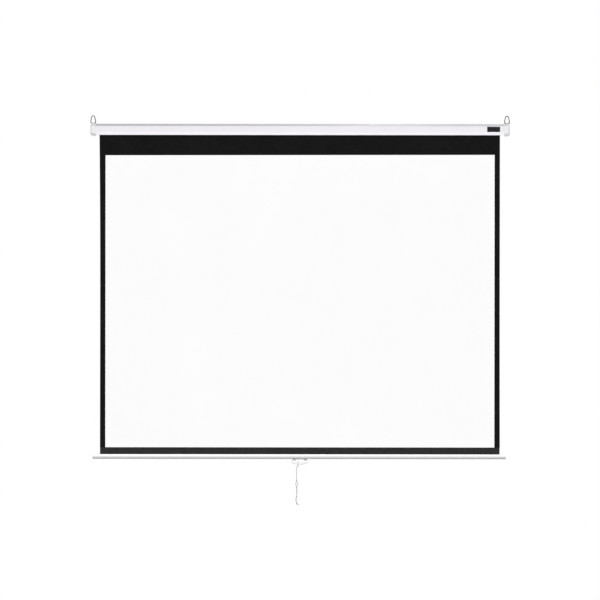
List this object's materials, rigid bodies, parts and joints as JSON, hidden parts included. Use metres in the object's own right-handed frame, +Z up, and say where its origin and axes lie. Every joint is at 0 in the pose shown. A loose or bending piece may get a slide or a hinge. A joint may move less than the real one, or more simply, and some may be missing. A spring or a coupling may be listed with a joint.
{
  "type": "wall projection screen",
  "caption": "Pull-down wall projection screen: white picture area with black borders on a self-locking spring roller in a slim white case, with a weight bar, pull handle, cord and hanger rings.",
  "frame": {"origin": "centre of the flat back of the case, in the plane of the wall", "axes": "+X along the case to the viewer's right, +Y into the wall, +Z up; the screen is seen from -Y"},
  "size_m": [2.1854, 0.0664, 2.027],
  "materials": {
    "case_enamel": "satin enamel on roll-formed steel",
    "bar_enamel": "satin enamel on roll-formed steel",
    "cap_plastic": "moulded, fine texture",
    "handle_plastic": "moulded, smooth",
    "plate_black": "smooth, bare",
    "screen_white": "matt white coating",
    "screen_black": "matt black masking and backing",
    "zinc_steel": "zinc plated",
    "dark_steel": "dark plated",
    "ring_wire": "dark nickel plated wire",
    "nylon": "moulded",
    "cord_white": "twisted cotton cord"
  },
  "bodies": {
    "housing": {"case_shell": "case_enamel", "end_cap_right": "cap_plastic", "end_cap_left": "cap_plastic", "cap_screw_1_right": "zinc_steel", "cap_screw_1_left": "zinc_steel", "cap_screw_2_right": "zinc_steel", "cap_screw_2_left": "zinc_steel", "roller_bracket_left": "zinc_steel", "roller_bracket_right": "zinc_steel", "idle_bush": "nylon", "name_plate": "plate_black", "spindle": "zinc_steel", "ratchet_wheel": "zinc_steel", "torsion_spring": "dark_steel", "spring_collet": "zinc_steel", "masked_fabric": "screen_black", "picture_area": "screen_white"},
    "roller": {"roller_tube": "zinc_steel", "wound_fabric": "screen_black", "drive_plug": "nylon", "pawl_pin_1": "zinc_steel", "pawl_pin_2": "zinc_steel", "spindle_bush": "nylon", "idle_plug": "nylon", "gudgeon_pin": "zinc_steel"},
    "pawl_upper": {"pawl_1": "zinc_steel"},
    "pawl_lower": {"pawl_2": "zinc_steel"},
    "weight_bar": {"lower_border": "screen_black", "hem_rod": "dark_steel", "bottom_bar": "bar_enamel", "bar_cap_right": "bar_enamel", "bar_cap_left": "bar_enamel", "handle_bracket": "dark_steel", "handle_screw_1": "zinc_steel", "handle_screw_2": "zinc_steel"},
    "pull_handle": {"handle_bail": "handle_plastic", "cord_tie_loop": "cord_white", "cord_tie_knot": "cord_white"},
    "hanging_cord": {"pull_cord": "cord_white", "cord_return": "cord_white", "cord_knot_upper": "cord_white", "cord_knot_middle": "cord_white", "cord_knot_lower": "cord_white", "cord_end_knot": "cord_white"},
    "ring_left": {"hanger_ring_left": "ring_wire"},
    "ring_right": {"hanger_ring_right": "ring_wire"}
  },
  "joints": [
    {"name": "screen_travel", "type": "slide", "parent": "housing", "child": "weight_bar", "axis": [0, 0, 1], "range_m": [0, 1.65], "deforming": ["masked_fabric", "picture_area"]},
    {"name": "roller_spin", "type": "hinge", "parent": "housing", "child": "roller", "pos_m": [0, -0.0365, 0], "axis": [1, 0, 0], "range_deg": [0, 4217.4]},
    {"name": "pawl_upper_swing", "type": "hinge", "parent": "roller", "child": "pawl_upper", "pos_m": [-1.0511, -0.0365, 0.015], "axis": [1, 0, 0], "range_deg": [-15.5, 14]},
    {"name": "pawl_lower_swing", "type": "hinge", "parent": "roller", "child": "pawl_lower", "pos_m": [-1.0511, -0.0365, -0.015], "axis": [1, 0, 0], "range_deg": [-15.5, 14]},
    {"name": "handle_swing", "type": "hinge", "parent": "weight_bar", "child": "pull_handle", "pos_m": [0, -0.018, -1.7223], "axis": [1, 0, 0], "range_deg": [-62, 62]},
    {"name": "cord_swing", "type": "hinge", "parent": "pull_handle", "child": "hanging_cord", "pos_m": [-0.0105, -0.018, -1.7527], "axis": [1, 0, 0], "range_deg": [-62, 62]},
    {"name": "ring_left_swing", "type": "hinge", "parent": "housing", "child": "ring_left", "pos_m": [-1.0785, -0.014, 0.0334], "axis": [1, 0, 0], "range_deg": [-18, 90]},
    {"name": "ring_right_swing", "type": "hinge", "parent": "housing", "child": "ring_right", "pos_m": [1.0785, -0.014, 0.0334], "axis": [1, 0, 0], "range_deg": [-18, 90]}
  ],
  "couplings": [
    {"joint": "roller_spin", "follows": "screen_travel", "rad_per_m": 44.6},
    {"joint": "cord_swing", "follows": "handle_swing", "ratio": -1}
  ]
}
